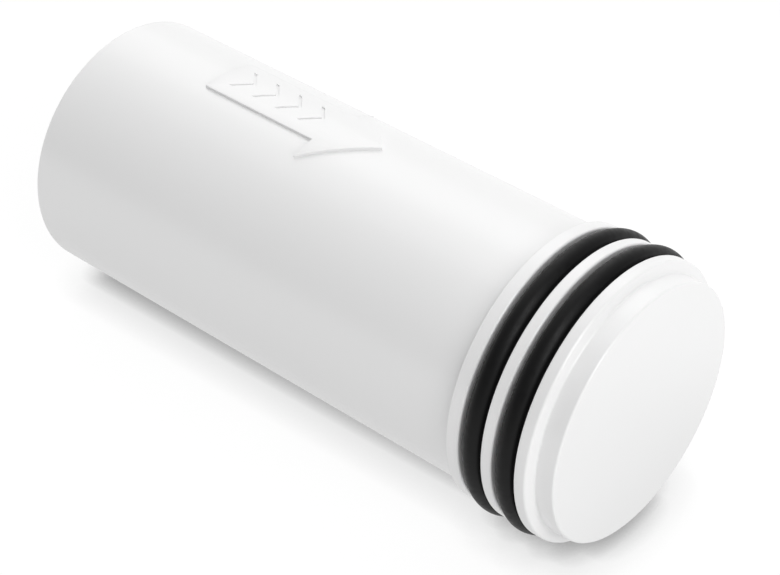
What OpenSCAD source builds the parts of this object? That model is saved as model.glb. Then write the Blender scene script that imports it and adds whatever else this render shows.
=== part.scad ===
// Water filter cartridge with a closed end sealed by two O-rings.
// It stands on its plain end, and its axis is +Z.
// Water enters through the ports in the floor, rises along the wall, passes inwards through
// the carbon block and leaves down the core, through the outlet in the middle of the floor.

/* [Housing] */
// Outer diameter of the housing tube
body_d = 50; // [44:0.5:60]
// Height of the whole cartridge, from the foot to the closed face
overall_h = 123; // [100:1:220]
// Wall of the housing tube
body_wall = 2; // [1.6:0.1:2.6]
// Thickness of the floor
floor_t = 3; // [2:0.1:4]
// Depth of the ring recess under the floor
floor_recess = 1; // [0.6:0.1:1.6]
// Width of the foot that the cartridge stands on
foot_w = 2.5; // [2:0.1:4]
// Radius on the foot's outer edge
foot_edge_r = 0.5; // [0.2:0.1:0.6]
// Number of inlet ports in the floor
port_n = 12; // [6:1:16]
// Diameter of an inlet port
port_d = 3.6; // [2:0.1:3.9]

/* [Closed end] */
// How far the collar stands out from the housing tube
collar_step = 1.5; // [1:0.1:2.2]
// Land between the housing tube and the rear groove
rear_land = 2.6; // [2:0.1:4]
// Land between the two grooves
middle_land = 2.2; // [1.6:0.1:4]
// Land between the front groove and the shoulder
front_land = 2.3; // [1.6:0.1:4]
// Rise of the sloping shoulder, from the collar's edge to the closed face's foot
shoulder_rise = 0.5; // [0.2:0.1:0.9]
// Width of the shoulder, seen from the closed end
shoulder_w = 2.1; // [1.4:0.1:2.8]
// Height of the closed face over the shoulder
face_h = 3.8; // [2:0.1:6]
// Thickness of the closed face
face_t = 3.5; // [2:0.1:4]
// Radius on the collar's front edge and on the closed face's edge
cap_edge_r = 0.4; // [0.1:0.05:0.5]
// Radius on the edges of the lands at the grooves
land_edge_r = 0.2; // [0.1:0.05:0.3]
// Wall behind the grooves
gland_wall = 2.7; // [1.8:0.1:3.2]
// Length of the spigot that enters the housing tube
cap_spigot_l = 8; // [4:0.5:14]
// Radial gap around the spigot in the housing tube
weld_gap = 0.1; // [0.05:0.05:0.2]
// Number of ribs that hold the block down
rib_n = 6; // [3:1:8]
// Thickness of a rib
rib_t = 1.6; // [1:0.1:2.4]
// Radius at which the ribs start
rib_start_r = 5; // [3:0.5:10]

/* [Collar O-rings] */
// Thickness of an O-ring in its groove
ring_section = 3.5; // [3:0.1:4]
// How far an O-ring stands out from the collar
ring_proud = 0.7; // [0.4:0.05:0.9]
// Gap on each side of an O-ring in its groove
groove_gap = 0.65; // [0.3:0.05:0.9]

/* [Outlet socket] */
// Diameter of the outlet nozzle that plugs into the floor
nozzle_d = 12; // [9:0.5:13]
// Radial clearance of the nozzle in the outlet bore
nozzle_gap = 0.1; // [0.05:0.05:0.2]
// Length of the outlet bore, with its lead-in
outlet_l = 6; // [4:0.5:8]
// Lead-in chamfer at the outlet's mouth
lead_in = 0.8; // [0.4:0.1:1.2]
// Wall around the socket
socket_wall = 3.5; // [2:0.1:4.5]
// Thickness of the outlet O-ring
outlet_ring_section = 2.4; // [1.8:0.1:2.8]
// How far the outlet O-ring reaches inside the nozzle's surface
outlet_squeeze = 0.4; // [0.2:0.05:0.5]
// Height of the spacer over the outlet O-ring
spacer_h = 1.6; // [1:0.1:3]
// Radial clearance of the spacer and the block's spigot in the socket
socket_gap = 0.1; // [0.05:0.05:0.15]
// Length of the block's spigot in the socket
block_spigot_l = 5; // [4.4:0.1:9]
// Thickness of the block's O-ring
block_ring_section = 2; // [1.5:0.1:2.2]
// Gap on each side of the block's O-ring in its groove
block_groove_gap = 0.3; // [0.1:0.05:0.4]
// Diameter of the water way through the block's spigot
spigot_bore_d = 8; // [5:0.5:8.4]

/* [Filter block] */
// Radial clearance of the upper block cap in the closed end
centring_gap = 0.3; // [0.2:0.05:0.6]
// Wall of the block caps' skirts
skirt_t = 1.1; // [0.8:0.1:1.6]
// Thickness of the block caps' plates
plate_t = 2.5; // [1.5:0.1:4]
// Depth of the block caps' skirts
skirt_l = 4.5; // [2:0.5:10]
// Radial clearance of a skirt around the net, and of a stub in the core
slip_gap = 0.1; // [0.05:0.05:0.15]
// Length of the block caps' stubs in the core
stub_l = 5.5; // [3:0.5:8]
// Thickness of the net
net_t = 0.6; // [0.4:0.1:1]
// Width of a strand of the net
strand_w = 1; // [0.6:0.1:1.6]
// Number of strands along the net
strand_n = 20; // [12:1:28]
// Distance between the hoops of the net, at most
hoop_pitch = 6.5; // [4:0.5:12]
// Thickness of the prefilter wrap
wrap_t = 1; // [0.6:0.1:2]
// Thickness of the fleece on the core
fleece_t = 0.6; // [0.4:0.1:1]
// Wall of the core tube
core_wall = 1.2; // [0.8:0.1:2]
// Diameter of the core tube's bore
core_bore_d = 10; // [9.8:0.1:12]
// Diameter of a hole in the core tube
core_hole_d = 2.5; // [1.5:0.1:3]
// Distance between rows of holes in the core tube, at most
core_hole_pitch = 8; // [5:0.5:12]
// Thickness of the inlet screen
screen_t = 1.5; // [0.8:0.1:2.5]
// Gap around the inlet screen
screen_gap = 0.2; // [0.1:0.05:0.5]

/* [Hidden] */
$fn = 128;

// Reach of a cut past the surface that it opens
over = 1;
// Holes around the core tube in each row, drilled in pairs straight across
core_holes_per_row = 6;

// Housing, outwards and upwards from its floor
body_r = body_d / 2;
bore_r = body_r - body_wall;
floor_top_z = floor_recess + floor_t;

// Closed end, downwards from its face
collar_r = body_r + collar_step;
face_r = collar_r - shoulder_w;
shoulder_z = overall_h - face_h - shoulder_rise;
groove_w = ring_section + 2 * groove_gap;
front_groove_z = shoulder_z - front_land - groove_w;
rear_groove_z = front_groove_z - middle_land - groove_w;
collar_z = rear_groove_z - rear_land;
groove_r = collar_r + ring_proud - ring_section;
cap_bore_r = groove_r - gland_wall;
ceiling_z = overall_h - face_t;

// Outlet socket, upwards from the foot
nozzle_r = nozzle_d / 2;
outlet_r = nozzle_r + nozzle_gap;
socket_r = nozzle_r - outlet_squeeze + outlet_ring_section;
boss_r = socket_r + socket_wall;
spacer_z = outlet_l + outlet_ring_section;
spigot_z = spacer_z + spacer_h;
boss_top_z = spigot_z + block_spigot_l;
spigot_r = socket_r - socket_gap;
block_groove_w = block_ring_section + 2 * block_groove_gap;
block_ring_z = spigot_z + block_spigot_l / 2;
port_circle_r = (boss_r + body_r - foot_w) / 2;

// Filter block, inwards from the closed end's bore
skirt_r = cap_bore_r - centring_gap;
net_r = skirt_r - skirt_t - slip_gap;
wrap_r = net_r - net_t;
block_r = wrap_r - wrap_t;
core_bore_r = core_bore_d / 2;
core_r = core_bore_r + core_wall;
fleece_r = core_r + fleece_t;
stub_r = core_bore_r - slip_gap;
block_z = boss_top_z + plate_t;
// The ribs leave a shallow space under the closed face
rib_h = face_t;
upper_plate_z = ceiling_z - rib_h - plate_t;
block_h = upper_plate_z - block_z;

white = [0.94, 0.94, 0.93];
black = [0.09, 0.09, 0.10];
pale_grey = [0.80, 0.81, 0.82];
fleece_white = [0.90, 0.89, 0.86];
carbon = [0.16, 0.16, 0.17];
net_blue = [0.55, 0.68, 0.78];

// Rectangle of a section, from its inner and outer radius and its two heights
module band(r1, r2, z1, z2) {
    translate([r1, z1]) square([r2 - r1, z2 - z1]);
}

// What a round edge takes off a section's corner; sx and sz point from the corner into the section
module edge_cut(r, z, edge_r, sx, sz) {
    difference() {
        translate([sx > 0 ? r - over : r - edge_r, sz > 0 ? z - over : z - edge_r])
            square(edge_r + over);
        translate([r + sx * edge_r, z + sz * edge_r]) circle(edge_r);
        // Keeps what lies beside the corner, so that only the corner itself goes
        translate([sx > 0 ? r + edge_r : r - edge_r - over, z - over]) square([over, 2 * over]);
        translate([r - over, sz > 0 ? z + edge_r : z - edge_r - over]) square([2 * over, over]);
    }
}

module tube(r1, r2, z1, z2) {
    rotate_extrude() band(r1, r2, z1, z2);
}

module o_ring(outer_r, section, z) {
    rotate_extrude() translate([outer_r - section / 2, z]) circle(d = section);
}

module housing_section() {
    difference() {
        union() {
            band(bore_r, body_r, 0, collar_z);
            band(body_r - foot_w, body_r, 0, floor_top_z);
            band(0, body_r, floor_recess, floor_top_z);
            band(0, boss_r, 0, boss_top_z);
        }
        band(0, outlet_r, -over, outlet_l + over);
        band(0, socket_r, outlet_l, boss_top_z + over);
        polygon([[0, 0], [outlet_r + lead_in, 0], [outlet_r, lead_in], [0, lead_in]]);
        edge_cut(body_r, 0, foot_edge_r, -1, 1);
    }
}

module housing() {
    color(white) difference() {
        rotate_extrude() housing_section();
        for (i = [0 : port_n - 1])
            rotate([0, 0, i * 360 / port_n])
                translate([port_circle_r, 0, floor_recess - over])
                    cylinder(h = floor_t + 2 * over, d = port_d);
    }
}

module groove_cut(z) {
    band(groove_r, collar_r + over, z, z + groove_w);
    edge_cut(collar_r, z, land_edge_r, -1, -1);
    edge_cut(collar_r, z + groove_w, land_edge_r, -1, 1);
}

module end_cap_section() {
    difference() {
        union() {
            band(cap_bore_r, collar_r, collar_z, shoulder_z);
            band(cap_bore_r, bore_r - weld_gap, collar_z - cap_spigot_l, collar_z);
            band(0, face_r, ceiling_z, overall_h);
            band(cap_bore_r, face_r, shoulder_z, overall_h);
            polygon([[face_r, shoulder_z], [collar_r, shoulder_z], [face_r, shoulder_z + shoulder_rise]]);
        }
        groove_cut(rear_groove_z);
        groove_cut(front_groove_z);
        edge_cut(collar_r, shoulder_z, cap_edge_r, -1, -1);
        edge_cut(face_r, overall_h, cap_edge_r, -1, -1);
    }
}

module end_cap() {
    color(white) {
        rotate_extrude() end_cap_section();
        for (i = [0 : rib_n - 1])
            rotate([0, 0, i * 360 / rib_n])
                translate([rib_start_r, -rib_t / 2, ceiling_z - rib_h])
                    cube([cap_bore_r - rib_start_r + over, rib_t, rib_h + over]);
    }
}

module rear_o_ring() {
    color(black) o_ring(collar_r + ring_proud, ring_section, rear_groove_z + groove_w / 2);
}

module front_o_ring() {
    color(black) o_ring(collar_r + ring_proud, ring_section, front_groove_z + groove_w / 2);
}

module inlet_screen() {
    color(fleece_white)
        tube(boss_r + screen_gap, bore_r - screen_gap, floor_top_z, floor_top_z + screen_t);
}

module outlet_o_ring() {
    color(black) o_ring(socket_r, outlet_ring_section, outlet_l + outlet_ring_section / 2);
}

module seal_spacer() {
    color(pale_grey) tube(outlet_r, socket_r - socket_gap, spacer_z, spigot_z);
}

module lower_block_cap() {
    color(pale_grey) rotate_extrude() difference() {
        union() {
            band(spigot_bore_d / 2, spigot_r, spigot_z, boss_top_z);
            band(spigot_bore_d / 2, skirt_r, boss_top_z, block_z);
            band(spigot_bore_d / 2, stub_r, block_z, block_z + stub_l);
            band(net_r + slip_gap, skirt_r, block_z, block_z + skirt_l);
        }
        band(socket_r - block_ring_section, spigot_r + over,
            block_ring_z - block_groove_w / 2, block_ring_z + block_groove_w / 2);
    }
}

module block_o_ring() {
    color(black) o_ring(socket_r, block_ring_section, block_ring_z);
}

module core_tube() {
    rows = ceil(block_h / core_hole_pitch);
    pitch = block_h / rows;
    color(pale_grey) difference() {
        tube(core_bore_r, core_r, block_z, upper_plate_z);
        for (row = [0 : rows - 1], i = [0 : core_holes_per_row / 2 - 1])
            translate([0, 0, block_z + (row + 0.5) * pitch])
                rotate([0, 0, (i + (row % 2) / 2) * 360 / core_holes_per_row])
                    rotate([0, 90, 0])
                        cylinder(h = 2 * (core_r + over), d = core_hole_d, center = true);
    }
}

module core_fleece() {
    color(fleece_white) tube(core_r, fleece_r, block_z, upper_plate_z);
}

module carbon_block() {
    color(carbon) tube(fleece_r, block_r, block_z, upper_plate_z);
}

module prefilter_wrap() {
    color(fleece_white) tube(block_r, wrap_r, block_z, upper_plate_z);
}

module outer_net() {
    gaps = ceil((block_h - strand_w) / hoop_pitch);
    pitch = (block_h - strand_w) / gaps;
    color(net_blue) {
        for (i = [0 : gaps])
            tube(wrap_r, net_r, block_z + i * pitch, block_z + i * pitch + strand_w);
        intersection() {
            tube(wrap_r, net_r, block_z, upper_plate_z);
            for (i = [0 : strand_n - 1])
                rotate([0, 0, i * 360 / strand_n])
                    translate([wrap_r - over, -strand_w / 2, block_z])
                        cube([net_t + 2 * over, strand_w, block_h]);
        }
    }
}

module upper_block_cap() {
    color(pale_grey) rotate_extrude() {
        band(0, skirt_r, upper_plate_z, upper_plate_z + plate_t);
        band(0, stub_r, upper_plate_z - stub_l, upper_plate_z);
        band(net_r + slip_gap, skirt_r, upper_plate_z - skirt_l, upper_plate_z);
    }
}

housing();
end_cap();
rear_o_ring();
front_o_ring();
inlet_screen();
outlet_o_ring();
seal_spacer();
lower_block_cap();
block_o_ring();
core_tube();
core_fleece();
carbon_block();
prefilter_wrap();
outer_net();
upper_block_cap();
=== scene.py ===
"""The looks of a drop-in water filter cartridge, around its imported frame.

The cartridge stands on its plain end, with its axis along +Z and its raised arrow on the -Y side.
The camera is rolled, so that the cartridge lies on its back in the picture, on a white surface that
touches it along the +Y side.
"""

from __future__ import annotations

import logging
import math
from dataclasses import dataclass
from enum import Enum

import bmesh
import bpy
from mathutils import Matrix, Quaternion, Vector

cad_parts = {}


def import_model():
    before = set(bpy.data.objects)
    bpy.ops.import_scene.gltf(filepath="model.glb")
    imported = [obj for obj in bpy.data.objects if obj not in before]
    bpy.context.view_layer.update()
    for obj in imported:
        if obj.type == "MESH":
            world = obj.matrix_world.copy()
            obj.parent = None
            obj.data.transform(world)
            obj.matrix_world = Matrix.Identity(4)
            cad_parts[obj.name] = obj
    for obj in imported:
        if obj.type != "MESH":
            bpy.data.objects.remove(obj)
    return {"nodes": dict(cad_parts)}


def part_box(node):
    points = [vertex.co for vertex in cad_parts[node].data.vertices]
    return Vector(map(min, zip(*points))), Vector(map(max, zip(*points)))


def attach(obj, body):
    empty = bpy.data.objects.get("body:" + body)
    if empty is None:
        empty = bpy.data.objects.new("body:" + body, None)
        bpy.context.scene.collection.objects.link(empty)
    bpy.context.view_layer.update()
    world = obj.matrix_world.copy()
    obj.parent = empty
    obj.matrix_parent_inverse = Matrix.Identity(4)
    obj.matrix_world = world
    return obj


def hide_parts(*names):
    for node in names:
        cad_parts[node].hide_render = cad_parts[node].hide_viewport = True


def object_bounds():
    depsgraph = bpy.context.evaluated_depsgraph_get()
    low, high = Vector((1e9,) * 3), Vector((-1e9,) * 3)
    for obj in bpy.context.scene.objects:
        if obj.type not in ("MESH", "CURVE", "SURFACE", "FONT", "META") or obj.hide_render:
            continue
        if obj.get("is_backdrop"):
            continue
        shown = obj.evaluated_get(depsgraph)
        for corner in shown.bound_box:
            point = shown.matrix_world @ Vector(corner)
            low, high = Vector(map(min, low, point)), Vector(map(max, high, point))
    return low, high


MM = 0.001
ROOT = "root"
SAME_PLACE = 1e-7

log = logging.getLogger("cartridge")


class Sheen(Enum):
    """How glossy a finish is: the roughness of its surface."""

    SATIN = 0.30
    SOFT = 0.42
    MATT = 0.60
    DULL = 0.90


def shade_by_angle(mesh: bpy.types.Mesh, angle_deg: float = 35.0) -> None:
    """Shades a mesh smooth, with its edges sharp where they fold more than an angle.

    Args:
        mesh: the mesh to shade.
        angle_deg: the fold, in degrees, from which an edge stays sharp.
    """
    mesh.shade_smooth()
    mesh.set_sharp_from_angle(angle=math.radians(angle_deg))


def object_from(bm: bmesh.types.BMesh, name: str) -> bpy.types.Object:
    """Turns a finished bmesh into an object at the origin and frees it.

    Args:
        bm: the shape, in the frame's own place.
        name: the name of the new piece.

    Returns:
        The new object, linked to the scene.
    """
    bmesh.ops.recalc_face_normals(bm, faces=bm.faces)
    mesh = bpy.data.meshes.new(name)
    bm.to_mesh(mesh)
    bm.free()
    shade_by_angle(mesh)
    piece = bpy.data.objects.new(name, mesh)
    bpy.context.scene.collection.objects.link(piece)
    return piece


def lathe(section: list[tuple[float, float]], closed: bool, steps: int) -> bmesh.types.BMesh:
    """Turns a section full circle round the cartridge's axis.

    Args:
        section: corners as radius and height, in millimetres.
        closed: whether the last corner joins the first. An open section starts and ends on the axis.
        steps: the number of steps round the circle.

    Returns:
        The turned shape, in metres.
    """
    bm = bmesh.new()
    corners = [bm.verts.new((r * MM, 0.0, z * MM)) for r, z in section]
    edges = [bm.edges.new(pair) for pair in zip(corners, corners[1:])]
    if closed:
        edges.append(bm.edges.new((corners[-1], corners[0])))
    bmesh.ops.spin(bm, geom=corners + edges, cent=(0, 0, 0), axis=(0, 0, 1), angle=math.tau,
                   steps=steps, use_merge=True, use_duplicate=False)
    bmesh.ops.remove_doubles(bm, verts=bm.verts, dist=SAME_PLACE)
    bmesh.ops.recalc_face_normals(bm, faces=bm.faces)
    return bm


def round_ring(bm: bmesh.types.BMesh, corner: tuple[float, float], radius: float, segments: int = 4) -> None:
    """Rounds one of a turned shape's ring edges.

    Args:
        bm: the turned shape.
        corner: the ring's radius and height, in millimetres.
        radius: how far the rounding reaches, in millimetres.
        segments: the number of steps across it.
    """
    near = 0.01 * MM

    def on_ring(vert: bmesh.types.BMVert) -> bool:
        """Whether a point lies on the ring."""
        return (abs(math.hypot(vert.co.x, vert.co.y) - corner[0] * MM) < near
                and abs(vert.co.z - corner[1] * MM) < near)

    ring = [edge for edge in bm.edges if all(on_ring(vert) for vert in edge.verts)]
    bmesh.ops.bevel(bm, geom=ring, offset=radius * MM, segments=segments, profile=0.5,
                    affect="EDGES", material=-1)


def joined_with(piece: bpy.types.Object, other: bpy.types.Object, how: str) -> bmesh.types.BMesh:
    """Adds one closed shape to another or cuts it out.

    Args:
        piece: the shape to change, which is removed.
        other: the shape that is added or cut out, which is removed too.
        how: UNION or DIFFERENCE.

    Returns:
        The result.
    """
    change = piece.modifiers.new("change", "BOOLEAN")
    change.operation = how
    change.solver = "EXACT"
    change.object = other
    bpy.context.view_layer.update()
    result = bmesh.new()
    result.from_object(piece, bpy.context.evaluated_depsgraph_get())
    for used in (piece, other):
        mesh = used.data
        bpy.data.objects.remove(used)
        bpy.data.meshes.remove(mesh)
    return result


def even_shading(piece: bpy.types.Object) -> None:
    """Lets the large faces set the shading, so that only the rounded edges bend the light."""
    shading = piece.modifiers.new("even_shading", "WEIGHTED_NORMAL")
    shading.keep_sharp = True


def ring_of(count: int, radius: float) -> list[Matrix]:
    """The places of a number of like shapes round the axis, at a radius in millimetres."""
    return [Matrix.Rotation(i * math.tau / count, 4, "Z") @ Matrix.Translation((radius * MM, 0, 0))
            for i in range(count)]


class NodeDesk:
    """A node tree under construction."""

    def __init__(self, tree: bpy.types.NodeTree) -> None:
        """Takes up a tree as it is."""
        self.tree = tree

    def add(self, kind: str, **values: object) -> bpy.types.Node:
        """Adds a node and sets its inputs.

        Args:
            kind: Blender's name of the node's type.
            values: input values, with spaces in a socket's name written as underscores.

        Returns:
            The new node.
        """
        node = self.tree.nodes.new(kind)
        for name, value in values.items():
            node.inputs[name.replace("_", " ")].default_value = value
        return node

    def join(self, output: bpy.types.NodeSocket, target: bpy.types.NodeSocket) -> None:
        """Links an output to an input."""
        self.tree.links.new(output, target)

    def ranged(self, value: bpy.types.NodeSocket, low: float, high: float, start: float = 0.3,
               stop: float = 0.7, smooth: bool = False) -> bpy.types.NodeSocket:
        """Maps the part of a value between two limits to another range.

        Args:
            value: the value to map.
            low: the result at the first limit and before it.
            high: the result at the second limit and past it.
            start: the first limit.
            stop: the second limit.
            smooth: whether the result starts and ends gently.

        Returns:
            The mapped value.
        """
        node = self.add("ShaderNodeMapRange", From_Min=start, From_Max=stop, To_Min=low, To_Max=high)
        node.interpolation_type = "SMOOTHSTEP" if smooth else "LINEAR"
        self.join(value, node.inputs["Value"])
        return node.outputs["Result"]


class ShaderDesk(NodeDesk):
    """A finish under construction, with its Principled shader and Object coordinates at hand."""

    def __init__(self, name: str) -> None:
        """Starts a material.

        Args:
            name: the material's name.
        """
        self.material = bpy.data.materials.new(name)
        self.material.use_nodes = True
        super().__init__(self.material.node_tree)
        self.shader = self.tree.nodes["Principled BSDF"]
        self.place = self.add("ShaderNodeTexCoord").outputs["Object"]

    def noise(self, per_metre: float, detail: float = 2.0,
              at: bpy.types.NodeSocket | None = None) -> bpy.types.NodeSocket:
        """A noise pattern on Object coordinates.

        Args:
            per_metre: how many blobs fit in a metre.
            detail: how many finer layers it has.
            at: other coordinates to use.

        Returns:
            The pattern's value, from 0 to 1.
        """
        texture = self.add("ShaderNodeTexNoise", Scale=per_metre, Detail=detail)
        self.join(at or self.place, texture.inputs["Vector"])
        return texture.outputs["Fac"]

    def grain(self, per_metre: tuple[float, float, float], detail: float) -> bpy.types.NodeSocket:
        """A noise pattern that runs one way.

        Args:
            per_metre: how many blobs fit in a metre along each axis.
            detail: how many finer layers it has.

        Returns:
            The pattern's value, from 0 to 1.
        """
        stretched = self.add("ShaderNodeMapping", Scale=per_metre)
        self.join(self.place, stretched.inputs["Vector"])
        return self.noise(1.0, detail, stretched.outputs["Vector"])

    def tint(self, value: bpy.types.NodeSocket, first: tuple[float, ...], second: tuple[float, ...]) -> None:
        """Mixes the base colour from two colours by a pattern.

        Args:
            value: the pattern, from 0 to 1.
            first: the colour where it is 0.
            second: the colour where it is 1.
        """
        ramp = self.add("ShaderNodeValToRGB")
        ramp.color_ramp.elements[0].color = (*first, 1.0)
        ramp.color_ramp.elements[1].color = (*second, 1.0)
        self.join(value, ramp.inputs["Fac"])
        self.join(ramp.outputs["Color"], self.shader.inputs["Base Color"])

    def bump(self, height: bpy.types.NodeSocket, depth_mm: float, strength: float = 1.0,
             under: bpy.types.NodeSocket | None = None) -> bpy.types.NodeSocket:
        """Adds a bump to the shader's normal.

        Args:
            height: the pattern that is raised.
            depth_mm: how high the pattern stands.
            strength: how much of it shows.
            under: the normal of another bump that this one is laid on.

        Returns:
            The bumped normal.
        """
        node = self.add("ShaderNodeBump", Strength=strength, Distance=depth_mm * MM)
        self.join(height, node.inputs["Height"])
        if under is not None:
            self.join(under, node.inputs["Normal"])
        self.join(node.outputs["Normal"], self.shader.inputs["Normal"])
        return node.outputs["Normal"]


@dataclass(frozen=True)
class MouldedPlastic:
    """A moulded plastic with a faint skin, draw marks along the axis and a little unevenness."""

    name: str
    colour: tuple[float, float, float]
    sheen: Sheen
    ior: float = 1.47
    shade_share: float = 0.985
    sheen_spread: float = 0.008
    skin_per_metre: float = 1500.0
    skin_mm: float = 0.0004
    ripple_per_metre: float = 45.0
    ripple_mm: float = 0.008
    coat: float = 0.0
    coat_roughness: float = 0.22
    cloud_per_metre: float = 40.0
    draw_marks_per_metre: tuple[float, float, float] = (900.0, 900.0, 25.0)

    def material(self) -> bpy.types.Material:
        """Builds the material.

        Returns:
            The finished material.
        """
        desk = ShaderDesk(self.name)
        desk.shader.inputs["IOR"].default_value = self.ior
        desk.shader.inputs["Coat Weight"].default_value = self.coat
        desk.shader.inputs["Coat Roughness"].default_value = self.coat_roughness
        darker = tuple(c * self.shade_share for c in self.colour)
        desk.tint(desk.noise(self.cloud_per_metre), self.colour, darker)
        draw_marks = desk.grain(self.draw_marks_per_metre, 3.0)
        rough = desk.ranged(draw_marks, self.sheen.value - self.sheen_spread,
                            self.sheen.value + self.sheen_spread)
        desk.join(rough, desk.shader.inputs["Roughness"])
        ripple = desk.bump(desk.noise(self.ripple_per_metre), self.ripple_mm)
        desk.bump(desk.noise(self.skin_per_metre), self.skin_mm, under=ripple)
        return desk.material


@dataclass(frozen=True)
class SealRubber:
    """Black moulded rubber: a dark satin skin with fine pores."""

    name: str
    colour: tuple[float, float, float] = (0.004, 0.004, 0.0042)
    bloom: tuple[float, float, float] = (0.007, 0.007, 0.0073)
    sheen: Sheen = Sheen.SOFT
    ior: float = 1.5
    gloss: float = 0.16
    smoothest: float = -0.06
    dullest: float = 0.08
    bloom_per_metre: float = 180.0
    wear_per_metre: float = 900.0
    pores_per_metre: float = 5200.0
    pore_mm: float = 0.002

    def material(self) -> bpy.types.Material:
        """Builds the material.

        Returns:
            The finished material.
        """
        desk = ShaderDesk(self.name)
        desk.shader.inputs["IOR"].default_value = self.ior
        desk.shader.inputs["Specular IOR Level"].default_value = self.gloss
        desk.tint(desk.noise(self.bloom_per_metre, 4.0), self.colour, self.bloom)
        rough = desk.ranged(desk.noise(self.wear_per_metre), self.sheen.value + self.smoothest,
                            self.sheen.value + self.dullest)
        desk.join(rough, desk.shader.inputs["Roughness"])
        desk.bump(desk.noise(self.pores_per_metre, 3.0), self.pore_mm)
        return desk.material


@dataclass(frozen=True)
class FilterFleece:
    """Off-white melt-blown fleece, a mat of fine fibres with sheen."""

    name: str
    colour: tuple[float, float, float] = (0.80, 0.79, 0.75)
    shadow: tuple[float, float, float] = (0.66, 0.65, 0.61)
    fuzz: float = 0.25
    fuzz_roughness: float = 0.5
    upright_per_metre: tuple[float, float, float] = (3800.0, 3800.0, 500.0)
    lying_per_metre: tuple[float, float, float] = (700.0, 700.0, 4200.0)
    fibre_mm: float = 0.12

    def material(self) -> bpy.types.Material:
        """Builds the material.

        Returns:
            The finished material.
        """
        desk = ShaderDesk(self.name)
        desk.shader.inputs["Roughness"].default_value = Sheen.DULL.value
        desk.shader.inputs["Sheen Weight"].default_value = self.fuzz
        desk.shader.inputs["Sheen Roughness"].default_value = self.fuzz_roughness
        upright = desk.grain(self.upright_per_metre, 4.0)
        lying = desk.grain(self.lying_per_metre, 4.0)
        desk.tint(desk.ranged(upright, 0.0, 1.0), self.shadow, self.colour)
        desk.bump(lying, self.fibre_mm, under=desk.bump(upright, self.fibre_mm))
        return desk.material


@dataclass(frozen=True)
class PressedCarbon:
    """Pressed activated carbon: near black, with a painted glint that makes each grain lighter towards its
    middle.
    """

    name: str
    colour: tuple[float, float, float] = (0.012, 0.012, 0.013)
    # grain: the colour of the painted glint at each grain's middle
    grain: tuple[float, float, float] = (0.05, 0.05, 0.055)
    grains_per_metre: float = 2400.0
    grain_mm: float = 0.15
    dust_per_metre: float = 1500.0

    def material(self) -> bpy.types.Material:
        """Builds the material.

        Returns:
            The finished material.
        """
        desk = ShaderDesk(self.name)
        cells = desk.add("ShaderNodeTexVoronoi", Scale=self.grains_per_metre)
        desk.join(desk.place, cells.inputs["Vector"])
        # painted glint: each grain is lighter towards its middle
        desk.tint(desk.ranged(cells.outputs["Distance"], 1.0, 0.0, 0.0, 0.6), self.colour, self.grain)
        rough = desk.ranged(desk.noise(self.dust_per_metre), Sheen.MATT.value, Sheen.DULL.value)
        desk.join(rough, desk.shader.inputs["Roughness"])
        desk.bump(cells.outputs["Distance"], self.grain_mm)
        return desk.material


@dataclass
class Housing:
    """The moulded tube with its floor, inlet ports and outlet socket. Sizes are in millimetres."""

    finish: bpy.types.Material
    outer_r: float = 25.0
    bore_r: float = 23.0
    top_z: float = 102.0
    foot_inner_r: float = 22.5
    recess_z: float = 1.0
    floor_z: float = 4.0
    boss_r: float = 11.5
    boss_top_z: float = 15.0
    socket_r: float = 8.0
    outlet_r: float = 6.1
    outlet_l: float = 6.0
    lead_in: float = 0.8
    port_n: int = 12
    port_circle_r: float = 17.0
    port_r: float = 1.8
    port_rim_r: float = 0.25
    port_overshoot: float = 1.0
    foot_edge_r: float = 0.5
    mould_edge_r: float = 0.25
    steps: int = 192

    def turned(self) -> bmesh.types.BMesh:
        """Turns the housing and rounds its outer edges.

        Returns:
            The housing before its ports are cut.
        """
        foot_outer, foot_inner = (self.outer_r, 0.0), (self.foot_inner_r, 0.0)
        boss_foot, mouth = (self.boss_r, 0.0), (self.outlet_r + self.lead_in, 0.0)
        bm = lathe([foot_inner, foot_outer, (self.outer_r, self.top_z), (self.bore_r, self.top_z),
                    (self.bore_r, self.floor_z), (self.boss_r, self.floor_z),
                    (self.boss_r, self.boss_top_z), (self.socket_r, self.boss_top_z),
                    (self.socket_r, self.outlet_l), (self.outlet_r, self.outlet_l),
                    (self.outlet_r, self.lead_in), mouth, boss_foot,
                    (self.boss_r, self.recess_z), (self.foot_inner_r, self.recess_z)],
                   closed=True, steps=self.steps)
        round_ring(bm, foot_outer, self.foot_edge_r)
        for corner in (foot_inner, boss_foot):
            round_ring(bm, corner, self.mould_edge_r)
        return bm

    def port_cutters(self) -> bmesh.types.BMesh:
        """Makes a pin through the floor for each inlet port, which flares at the port's outer rim.

        Returns:
            All the pins.
        """
        bm = bmesh.new()
        past = self.port_overshoot
        low, high = self.recess_z - past, self.floor_z + past
        for place in ring_of(self.port_n, self.port_circle_r):
            for radius_low, radius_high, z_low, z_high in (
                    (self.port_r, self.port_r, low, high),
                    (self.port_r + self.port_rim_r + past, self.port_r, low,
                     self.recess_z + self.port_rim_r)):
                depth = z_high - z_low
                bmesh.ops.create_cone(bm, cap_ends=True, segments=48, radius1=radius_low * MM,
                                      radius2=radius_high * MM, depth=depth * MM,
                                      matrix=place @ Matrix.Translation((0, 0, (z_low + depth / 2) * MM)))
        return bm

    def build(self) -> bpy.types.Object:
        """Builds the housing.

        Returns:
            The housing, which replaces its solid.
        """
        body = object_from(self.turned(), "housing_turned")
        ports = object_from(self.port_cutters(), "port_pins")
        housing = object_from(joined_with(body, ports, "DIFFERENCE"), "moulded_housing")
        even_shading(housing)
        housing.data.materials.clear()
        housing.data.materials.append(self.finish)
        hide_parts("housing")
        return housing


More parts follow.
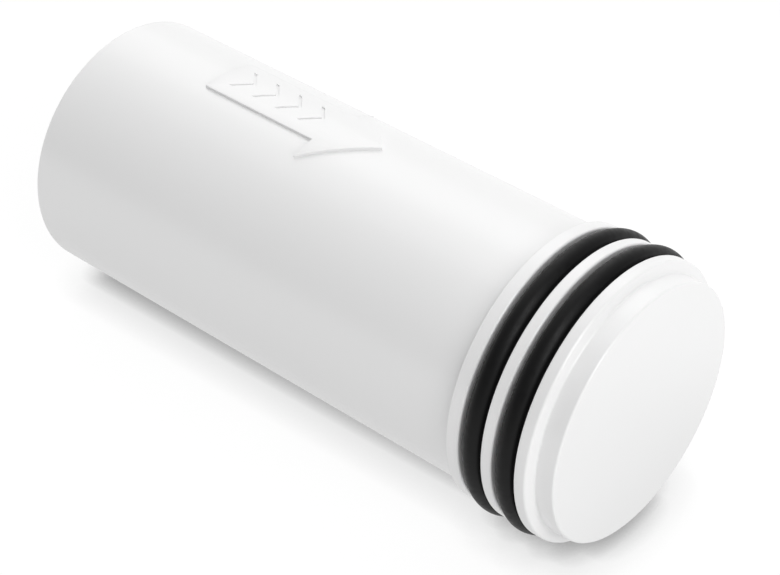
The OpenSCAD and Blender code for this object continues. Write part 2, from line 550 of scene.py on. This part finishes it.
@dataclass
class EndCap:
    """The closed end: spigot, collar with two grooves, shoulder and closed face. Sizes are in millimetres."""

    finish: bpy.types.Material
    bore_r: float = 21.0
    spigot_r: float = 22.9
    spigot_z: float = 94.0
    collar_r: float = 26.5
    collar_z: float = 102.0
    groove_r: float = 23.7
    grooves: tuple[tuple[float, float], ...] = ((104.6, 109.4), (111.6, 116.4))
    shoulder_z: float = 118.7
    shoulder_rise: float = 0.5
    face_r: float = 24.4
    face_z: float = 123.0
    ceiling_z: float = 119.5
    cap_edge_r: float = 0.4
    land_edge_r: float = 0.2
    lip_edge_r: float = 0.4
    foot_fillet_r: float = 0.3
    rib_n: int = 6
    rib_t: float = 1.6
    rib_start_r: float = 5.0
    rib_z: float = 116.0
    rib_root: float = 0.5
    steps: int = 192

    def turned(self) -> bmesh.types.BMesh:
        """Turns the cap and rounds the edges of its lands, shoulder and face.

        Returns:
            The cap without its ribs.
        """
        section = [(0.0, self.ceiling_z), (self.bore_r, self.ceiling_z), (self.bore_r, self.spigot_z),
                   (self.spigot_r, self.spigot_z), (self.spigot_r, self.collar_z),
                   (self.collar_r, self.collar_z)]
        for low, high in self.grooves:
            section += [(self.collar_r, low), (self.groove_r, low),
                        (self.groove_r, high), (self.collar_r, high)]
        collar_edge, face_edge = (self.collar_r, self.shoulder_z), (self.face_r, self.face_z)
        disc_foot = (self.face_r, self.shoulder_z + self.shoulder_rise)
        section += [collar_edge, disc_foot, face_edge, (0.0, self.face_z)]
        bm = lathe(section, closed=False, steps=self.steps)
        for corner in (collar_edge, face_edge):
            round_ring(bm, corner, self.cap_edge_r)
        round_ring(bm, disc_foot, self.foot_fillet_r)
        for height in (self.collar_z, *(high for _, high in self.grooves)):
            round_ring(bm, (self.collar_r, height), self.land_edge_r, segments=3)
        for low, _ in self.grooves:
            round_ring(bm, (self.collar_r, low), self.lip_edge_r)
        return bm

    def ribs(self) -> bmesh.types.BMesh:
        """Makes the ribs that hold the block down.

        Returns:
            The ribs, each a bar sunk into the face and the wall.
        """
        length = self.bore_r + self.rib_root - self.rib_start_r
        height = self.ceiling_z + self.rib_root - self.rib_z
        size = Matrix.Diagonal((length * MM, self.rib_t * MM, height * MM, 1.0))
        lift = Matrix.Translation((length / 2 * MM, 0, (self.rib_z + height / 2) * MM))
        bm = bmesh.new()
        for place in ring_of(self.rib_n, self.rib_start_r):
            bmesh.ops.create_cube(bm, size=1.0, matrix=place @ lift @ size)
        return bm

    def build(self) -> bpy.types.Object:
        """Builds the cap.

        Returns:
            The cap, which replaces its solid.
        """
        body = object_from(self.turned(), "cap_turned")
        ribs = object_from(self.ribs(), "cap_ribs")
        cap = object_from(joined_with(body, ribs, "UNION"), "moulded_end_cap")
        even_shading(cap)
        cap.data.materials.clear()
        cap.data.materials.append(self.finish)
        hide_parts("end_cap")
        return cap


@dataclass
class ORing:
    """A rubber O-ring, which takes its place and its section from the solid that it stands for."""

    node: str
    finish: bpy.types.Material
    section_points: int = 48
    turn_steps: int = 288

    def build(self) -> bpy.types.Object:
        """Builds the ring as a spun circle.

        Returns:
            The ring, which replaces its solid.
        """
        low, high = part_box(self.node)
        section_r = (high.z - low.z) / 2
        outer_r = (high.x - low.x) / 2
        middle_z = (high.z + low.z) / 2
        bm = bmesh.new()
        bmesh.ops.create_circle(bm, cap_ends=False, segments=self.section_points, radius=section_r)
        bmesh.ops.rotate(bm, verts=bm.verts, matrix=Matrix.Rotation(math.pi / 2, 3, "X"))
        shift = Vector((outer_r - section_r, 0.0, middle_z))
        bmesh.ops.translate(bm, verts=bm.verts, vec=shift)
        bmesh.ops.spin(bm, geom=bm.verts[:] + bm.edges[:], cent=(0, 0, 0), axis=(0, 0, 1),
                       angle=math.tau, steps=self.turn_steps, use_merge=True, use_duplicate=False)
        bmesh.ops.remove_doubles(bm, verts=bm.verts, dist=SAME_PLACE)
        ring = object_from(bm, f"{self.node}_moulded")
        ring.data.materials.append(self.finish)
        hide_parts(self.node)
        return ring


@dataclass
class FlowArrow:
    """The raised block arrow on the housing, which points to the closed end.

    It is drawn flat, with the length along Z and the width along X, and then bent round the tube.
    Small sunk chevrons take the place of the word on the real one.
    """

    tube_r: float
    finish: bpy.types.Material
    tail_z: float = 25.0
    shaft_l: float = 26.2
    shaft_w: float = 12.0
    head_l: float = 11.2
    head_w: float = 21.8
    height: float = 0.62
    root_depth: float = 0.3
    edge_r: float = 0.1
    edge_steps: int = 3
    slice_w: float = 0.8
    chevron_n: int = 4
    chevron_pitch: float = 5.6
    chevron_h: float = 6.6
    chevron_l: float = 3.0
    chevron_stroke: float = 0.55
    chevron_depth: float = 0.32
    chevron_overshoot: float = 1.0
    turn_deg: float = -8.0

    def outline(self) -> list[tuple[float, float]]:
        """Draws the arrow flat.

        Returns:
            Its corners all the way round, as width and length in millimetres.
        """
        neck_z = self.tail_z + self.shaft_l
        half_shaft, half_head = self.shaft_w / 2, self.head_w / 2
        return [(-half_shaft, self.tail_z), (half_shaft, self.tail_z), (half_shaft, neck_z),
                (half_head, neck_z), (0.0, neck_z + self.head_l), (-half_head, neck_z),
                (-half_shaft, neck_z)]

    def chevron(self, start_z: float) -> list[tuple[float, float]]:
        """A chevron's corners, with its point towards the closed end.

        Args:
            start_z: the height of its open end, in millimetres.

        Returns:
            Six corners, as width and length in millimetres.
        """
        half = self.chevron_h / 2
        slant = self.chevron_stroke * math.hypot(half, self.chevron_l) / half
        return [(-half, start_z), (0.0, start_z + self.chevron_l), (half, start_z),
                (half, start_z + slant), (0.0, start_z + self.chevron_l + slant), (-half, start_z + slant)]

    @staticmethod
    def slab(corners: list[tuple[float, float]], low: float, high: float) -> bmesh.types.BMesh:
        """Makes a flat slab over an outline.

        Args:
            corners: the outline, as width and length in millimetres.
            low: where the slab starts along Y, in millimetres.
            high: where it ends.

        Returns:
            The slab, in millimetres.
        """
        bm = bmesh.new()
        face = bm.faces.new([bm.verts.new((x, low, z)) for x, z in corners])
        grown = bmesh.ops.extrude_face_region(bm, geom=[face])
        moved = [g for g in grown["geom"] if isinstance(g, bmesh.types.BMVert)]
        bmesh.ops.translate(bm, verts=moved, vec=(0.0, high - low, 0.0))
        bmesh.ops.recalc_face_normals(bm, faces=bm.faces)
        return bm

    def rounded_slab(self) -> bmesh.types.BMesh:
        """Makes the arrow's slab and rounds its top edges.

        Returns:
            The slab, in millimetres.
        """
        bm = self.slab(self.outline(), -self.root_depth, self.height)
        top = [e for e in bm.edges if all(v.co.y > self.height / 2 for v in e.verts)]
        bmesh.ops.bevel(bm, geom=top, offset=self.edge_r, segments=self.edge_steps, profile=0.5,
                        affect="EDGES", material=-1)
        return bm

    def cut_chevrons(self, slab: bmesh.types.BMesh) -> bmesh.types.BMesh:
        """Sinks the chevrons into the arrow's top.

        Args:
            slab: the arrow's slab, which is freed.

        Returns:
            The slab with the chevrons cut out.
        """
        middle = self.tail_z + self.shaft_l / 2
        first = middle - ((self.chevron_n - 1) * self.chevron_pitch + self.chevron_l) / 2
        tools = bmesh.new()
        for i in range(self.chevron_n):
            one = self.slab(self.chevron(first + i * self.chevron_pitch),
                            self.height - self.chevron_depth, self.height + self.chevron_overshoot)
            piece = bpy.data.meshes.new("chevron")
            one.to_mesh(piece)
            one.free()
            tools.from_mesh(piece)
            bpy.data.meshes.remove(piece)
        return joined_with(object_from(slab, "arrow_slab"), object_from(tools, "chevrons"), "DIFFERENCE")

    def bend(self, bm: bmesh.types.BMesh) -> None:
        """Cuts the flat arrow into strips and wraps them round the tube, beside its -Y side.

        Args:
            bm: the flat arrow in millimetres, which is left in place and in metres.
        """
        half = self.head_w / 2
        strips = math.ceil(self.head_w / self.slice_w)
        for i in range(1, strips):
            geometry = bm.verts[:] + bm.edges[:] + bm.faces[:]
            bmesh.ops.bisect_plane(bm, geom=geometry, dist=1e-5,
                                   plane_co=(-half + i * self.head_w / strips, 0, 0), plane_no=(1, 0, 0))
        for vert in bm.verts:
            angle = vert.co.x / self.tube_r + math.radians(self.turn_deg)
            radius = self.tube_r * MM + vert.co.y * MM
            vert.co = (radius * math.sin(angle), -radius * math.cos(angle), vert.co.z * MM)

    def build(self) -> bpy.types.Object:
        """Builds the arrow.

        Returns:
            The arrow's relief, rooted in the housing's wall.
        """
        bm = self.cut_chevrons(self.rounded_slab())
        self.bend(bm)
        arrow = object_from(bm, "flow_arrow")
        arrow.data.materials.clear()
        arrow.data.materials.append(self.finish)
        return arrow


@dataclass
class Cartridge:
    """The whole cartridge: the frame's solids in their finishes, and the pieces made here."""

    nodes: dict[str, bpy.types.Object]

    def dress(self) -> dict[str, bpy.types.Material]:
        """Gives its finish to each solid of the frame that is not rebuilt here.

        Returns:
            The finishes, by slot.
        """
        shell = MouldedPlastic("shell_plastic", (0.90, 0.90, 0.90), Sheen.SATIN, coat=0.6)
        inner = MouldedPlastic("inner_plastic", (0.62, 0.63, 0.64), Sheen.SOFT)
        net = MouldedPlastic("net_plastic", (0.33, 0.47, 0.60), Sheen.SOFT)
        finishes = {
            "shell": shell.material(),
            "inner_plastic": inner.material(),
            "net_plastic": net.material(),
            "seal_rubber": SealRubber("seal_rubber").material(),
            "filter_fleece": FilterFleece("filter_fleece").material(),
            "pressed_carbon": PressedCarbon("pressed_carbon").material(),
        }
        slots = {
            "inner_plastic": ("seal_spacer", "lower_block_cap", "core_tube", "upper_block_cap"),
            "net_plastic": ("outer_net",),
            "filter_fleece": ("inlet_screen", "core_fleece", "prefilter_wrap"),
            "pressed_carbon": ("carbon_block",),
        }
        for slot, names in slots.items():
            for name in names:
                node = self.nodes[name]
                node.data.materials.clear()
                node.data.materials.append(finishes[slot])
                log.info("solid %s: %s", name, slot)
        return finishes

    def build(self) -> list[bpy.types.Object]:
        """Dresses the solids and makes the new pieces.

        Returns:
            The new pieces.
        """
        finishes = self.dress()
        pieces = [Housing(finishes["shell"]).build(), EndCap(finishes["shell"]).build(),
                  FlowArrow(Housing.outer_r, finishes["shell"]).build()]
        for node in ("rear_o_ring", "front_o_ring", "outlet_o_ring", "block_o_ring"):
            pieces.append(ORing(node, finishes["seal_rubber"]).build())
        for piece in pieces:
            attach(piece, ROOT)
            log.info("piece %s: %d faces", piece.name, len(piece.data.polygons))
        return pieces


@dataclass
class PhotoCamera:
    """The camera, from the photograph's viewing angle. Lengths are in millimetres, angles in degrees."""

    azimuth: float = 42.33
    elevation: float = 30.96
    roll: float = 118.31
    distance: float = 415.0
    aim: tuple[float, float, float] = (0.95, 0.87, 67.58)
    lens: float = 106.03
    sensor: float = 36.0
    clip_m: tuple[float, float] = (0.02, 20.0)

    def make(self) -> bpy.types.Object:
        """Places the camera and makes it the scene's own.

        Returns:
            The camera.
        """
        turn, rise = math.radians(self.azimuth), math.radians(self.elevation)
        back = Vector((math.sin(turn) * math.cos(rise), -math.cos(turn) * math.cos(rise), math.sin(rise)))
        data = bpy.data.cameras.new("photo_camera")
        data.lens = self.lens
        data.sensor_width = self.sensor
        data.clip_start, data.clip_end = self.clip_m
        camera = bpy.data.objects.new("photo_camera", data)
        camera.location = (Vector(self.aim) + back * self.distance) * MM
        camera.rotation_mode = "QUATERNION"
        level = (-back).to_track_quat("-Z", "Y")
        camera.rotation_quaternion = level @ Quaternion((0.0, 0.0, 1.0), math.radians(self.roll))
        bpy.context.scene.collection.objects.link(camera)
        bpy.context.scene.camera = camera
        return camera


@dataclass
class Softbox:
    """A large square lamp that looks at the cartridge. Lengths are in millimetres."""

    name: str
    direction: tuple[float, float, float]
    width: float
    radiance: float
    distance: float = 1400.0
    target: tuple[float, float, float] = (0.0, 0.0, 62.0)

    def make(self) -> bpy.types.Object:
        """Places the lamp.

        Returns:
            The lamp.
        """
        data = bpy.data.lights.new(self.name, "AREA")
        data.shape = "SQUARE"
        data.size = self.width * MM
        data.energy = self.radiance * math.pi * data.size ** 2
        lamp = bpy.data.objects.new(self.name, data)
        away = Vector(self.direction).normalized()
        lamp.location = (Vector(self.target) + away * self.distance) * MM
        lamp.rotation_euler = (-away).to_track_quat("-Z", "Y").to_euler()
        bpy.context.scene.collection.objects.link(lamp)
        return lamp


LAMPS = (
    Softbox("key", (-0.5775, -0.634, -0.5144), width=862.0, radiance=0.518),
    Softbox("front", (0.1445, -0.397, 0.906), width=604.0, radiance=4.59),
    Softbox("upper_front", (0.227, -0.758, 0.612), width=604.0, radiance=4.0),
    Softbox("top", (-0.3, -0.9, -0.3), width=1200.0, radiance=0.511),
)


class StudioDesk(NodeDesk):
    """The nodes of the surface or the surround, started on an empty tree."""

    def __init__(self, tree: bpy.types.NodeTree) -> None:
        """Clears the tree."""
        super().__init__(tree)
        tree.nodes.clear()

    def maths(self, operation: str, *terms: bpy.types.NodeSocket | float) -> bpy.types.NodeSocket:
        """Works out a sum, a product or the like.

        Args:
            operation: Blender's name of the operation.
            terms: the sockets and numbers that it takes, in order.

        Returns:
            The result.
        """
        node = self.add("ShaderNodeMath")
        node.operation = operation
        for i, term in enumerate(terms):
            if isinstance(term, float):
                node.inputs[i].default_value = term
            else:
                self.join(term, node.inputs[i])
        return node.outputs[0]

    def seen(self) -> bpy.types.NodeSocket:
        """One for the camera's rays and for those that a clear surface sends on."""
        rays = self.add("ShaderNodeLightPath")
        return self.maths("MAXIMUM", rays.outputs["Is Camera Ray"], rays.outputs["Is Transmission Ray"])

    def facing(self, direction: Vector) -> bpy.types.NodeSocket:
        """Finds how nearly a ray to the surround runs along a direction.

        Args:
            direction: the direction, as a unit vector.

        Returns:
            The share, from 0 to 1.
        """
        place = self.add("ShaderNodeTexCoord")
        along = self.add("ShaderNodeVectorMath")
        along.operation = "DOT_PRODUCT"
        along.inputs[1].default_value = direction
        self.join(place.outputs["Generated"], along.inputs[0])
        return self.maths("MAXIMUM", along.outputs["Value"], 0.0)


@dataclass
class Studio:
    """The white surface that the cartridge lies against, the lamps and the white surround."""

    ring_r: float
    ring_z: float
    tube_r: float
    top_z: float
    reach: float = 3000.0
    paint: float = 0.12
    glow: float = 0.9
    edge_shade: float = 0.68
    edge_reach: float = 5.0
    wide_shade: float = 0.32
    wide_reach: float = 9.0
    shade_samples: int = 4
    bounce: float = 1.0
    contact_bounce: float = 0.735
    bounce_from: float = 22.0
    bounce_to: float = 60.0
    dome_light: float = 0.184
    zenith_light: float = 0.549
    backdrop_light: float = 0.842
    below_light: float = 0.4
    zenith_focus: float = 3.0

    def up(self) -> Vector:
        """The direction away from the surface, which touches the foot and the rear O-ring."""
        return Vector((0.0, -self.ring_z, self.ring_r - self.tube_r)).normalized()

    def away(self) -> Vector:
        """Finds the direction along the surface that leads away from the photograph's camera.

        Returns:
            The direction, as a unit vector.
        """
        turn, rise = math.radians(PhotoCamera.azimuth), math.radians(PhotoCamera.elevation)
        ahead = Vector((-math.sin(turn) * math.cos(rise), math.cos(turn) * math.cos(rise), -math.sin(rise)))
        return (ahead - ahead.project(self.up())).normalized()

    def bounce_strength(self, desk: StudioDesk) -> bpy.types.NodeSocket:
        """Sets the light that the surface sends back, by how far a spot lies from the line of contact.

        Args:
            desk: the surface's node tree.

        Returns:
            The light's strength.
        """
        place = desk.add("ShaderNodeTexCoord")
        axes = desk.add("ShaderNodeSeparateXYZ")
        desk.join(place.outputs["Object"], axes.inputs[0])
        under_foot = desk.maths("MULTIPLY", axes.outputs["Z"], -1.0)
        past_top = desk.maths("SUBTRACT", axes.outputs["Z"], self.top_z * MM)
        past_end = desk.maths("MAXIMUM", desk.maths("MAXIMUM", under_foot, past_top), 0.0)
        squares = desk.maths("ADD", desk.maths("POWER", axes.outputs["X"], 2.0),
                             desk.maths("POWER", past_end, 2.0))
        return desk.ranged(desk.maths("SQRT", squares), self.contact_bounce, self.bounce,
                           start=self.bounce_from * MM, stop=self.bounce_to * MM, smooth=True)

    def seen_strength(self, desk: StudioDesk) -> bpy.types.NodeSocket:
        """Sets the glow that the camera sees, less the shade close to the cartridge and round it.

        Args:
            desk: the surface's node tree.

        Returns:
            The glow's strength.
        """
        strength = 1.0 - self.edge_shade - self.wide_shade
        for share, reach in ((self.edge_shade, self.edge_reach), (self.wide_shade, self.wide_reach)):
            open_share = desk.add("ShaderNodeAmbientOcclusion", Distance=reach * MM)
            open_share.samples = self.shade_samples
            strength = desk.maths("MULTIPLY_ADD", open_share.outputs["AO"], share, strength)
        return desk.maths("MULTIPLY", strength, self.glow)

    def surface_material(self) -> bpy.types.Material:
        """White where the surface is open, darker where the cartridge nearly touches it.

        The camera sees paint with the lamps' shadows and a glow that fades near the cartridge.
        The cartridge meets light that is dimmer from under it, and from behind the surface is clear.

        Returns:
            The surface's material.
        """
        material = bpy.data.materials.new("white_surface")
        material.use_nodes = True
        desk = StudioDesk(material.node_tree)
        paint = desk.add("ShaderNodeBsdfDiffuse", Color=(self.paint, self.paint, self.paint, 1.0))
        glow = desk.add("ShaderNodeEmission")
        desk.join(self.seen_strength(desk), glow.inputs["Strength"])
        lit = desk.add("ShaderNodeAddShader")
        desk.join(paint.outputs[0], lit.inputs[0])
        desk.join(glow.outputs[0], lit.inputs[1])
        sent_back = desk.add("ShaderNodeEmission")
        desk.join(self.bounce_strength(desk), sent_back.inputs["Strength"])
        by_ray = desk.add("ShaderNodeMixShader")
        desk.join(desk.seen(), by_ray.inputs["Fac"])
        desk.join(sent_back.outputs[0], by_ray.inputs[1])
        desk.join(lit.outputs[0], by_ray.inputs[2])
        clear = desk.add("ShaderNodeBsdfTransparent")
        side = desk.add("ShaderNodeNewGeometry")
        by_side = desk.add("ShaderNodeMixShader")
        desk.join(side.outputs["Backfacing"], by_side.inputs["Fac"])
        desk.join(by_ray.outputs[0], by_side.inputs[1])
        desk.join(clear.outputs[0], by_side.inputs[2])
        output = desk.add("ShaderNodeOutputMaterial")
        desk.join(by_side.outputs[0], output.inputs["Surface"])
        return material

    def surface(self) -> bpy.types.Object:
        """Lays the surface against the foot and the rear O-ring.

        Returns:
            The surface, marked as stage.
        """
        bm = bmesh.new()
        bmesh.ops.create_grid(bm, x_segments=1, y_segments=1, size=self.reach * MM)
        turn = self.up().to_track_quat("Z", "Y").to_matrix().to_4x4()
        place = Matrix.Translation(Vector((0.0, self.ring_r, self.ring_z)) * MM) @ turn
        bmesh.ops.transform(bm, verts=bm.verts, matrix=place)
        mesh = bpy.data.meshes.new("white_surface")
        bm.to_mesh(mesh)
        bm.free()
        mesh.materials.append(self.surface_material())
        surface = bpy.data.objects.new("white_surface", mesh)
        bpy.context.scene.collection.objects.link(surface)
        surface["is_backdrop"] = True
        return surface

    def world(self) -> None:
        """A dome that is bright overhead and behind the cartridge, and plain white to the camera."""
        world = bpy.data.worlds.new("surround")
        bpy.context.scene.world = world
        world.use_nodes = True
        desk = StudioDesk(world.node_tree)
        height = desk.facing(self.up())
        overhead = desk.maths("MULTIPLY", desk.maths("POWER", height, self.zenith_focus), self.zenith_light)
        behind = desk.maths("MULTIPLY", desk.facing(self.away()), self.backdrop_light)
        dome = desk.maths("ADD", desk.maths("ADD", overhead, behind), self.dome_light)
        above = desk.maths("GREATER_THAN", height, 0.0)
        below = desk.maths("MULTIPLY", desk.maths("SUBTRACT", 1.0, above), self.below_light)
        light = desk.maths("ADD", desk.maths("MULTIPLY", dome, above), below)
        up_to_white = desk.maths("SUBTRACT", 1.0, light)
        strength = desk.maths("MULTIPLY_ADD", desk.seen(), up_to_white, light)
        background = desk.add("ShaderNodeBackground", Color=(1.0, 1.0, 1.0, 1.0))
        desk.join(strength, background.inputs["Strength"])
        output = desk.add("ShaderNodeOutputWorld")
        desk.join(background.outputs[0], output.inputs["Surface"])

    def make(self) -> None:
        """Sets up the surface, the surround and the lamps."""
        self.surface()
        self.world()
        for lamp in LAMPS:
            lamp.make()


def main() -> None:
    """Builds the scene: the camera, the cartridge and the studio, in that order."""
    logging.basicConfig(level=logging.INFO, format="%(message)s")
    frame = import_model()
    cad_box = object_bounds()
    bpy.context.scene.view_settings.view_transform = "Standard"
    PhotoCamera().make()
    Cartridge(frame["nodes"]).build()
    ring_low, ring_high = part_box("rear_o_ring")
    tube_low, tube_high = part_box("housing")
    studio = Studio(ring_r=ring_high.y / MM, ring_z=(ring_low.z + ring_high.z) / 2 / MM,
                    tube_r=tube_high.y / MM, top_z=cad_box[1].z / MM)
    studio.make()


if __name__ == "__main__":
    main()
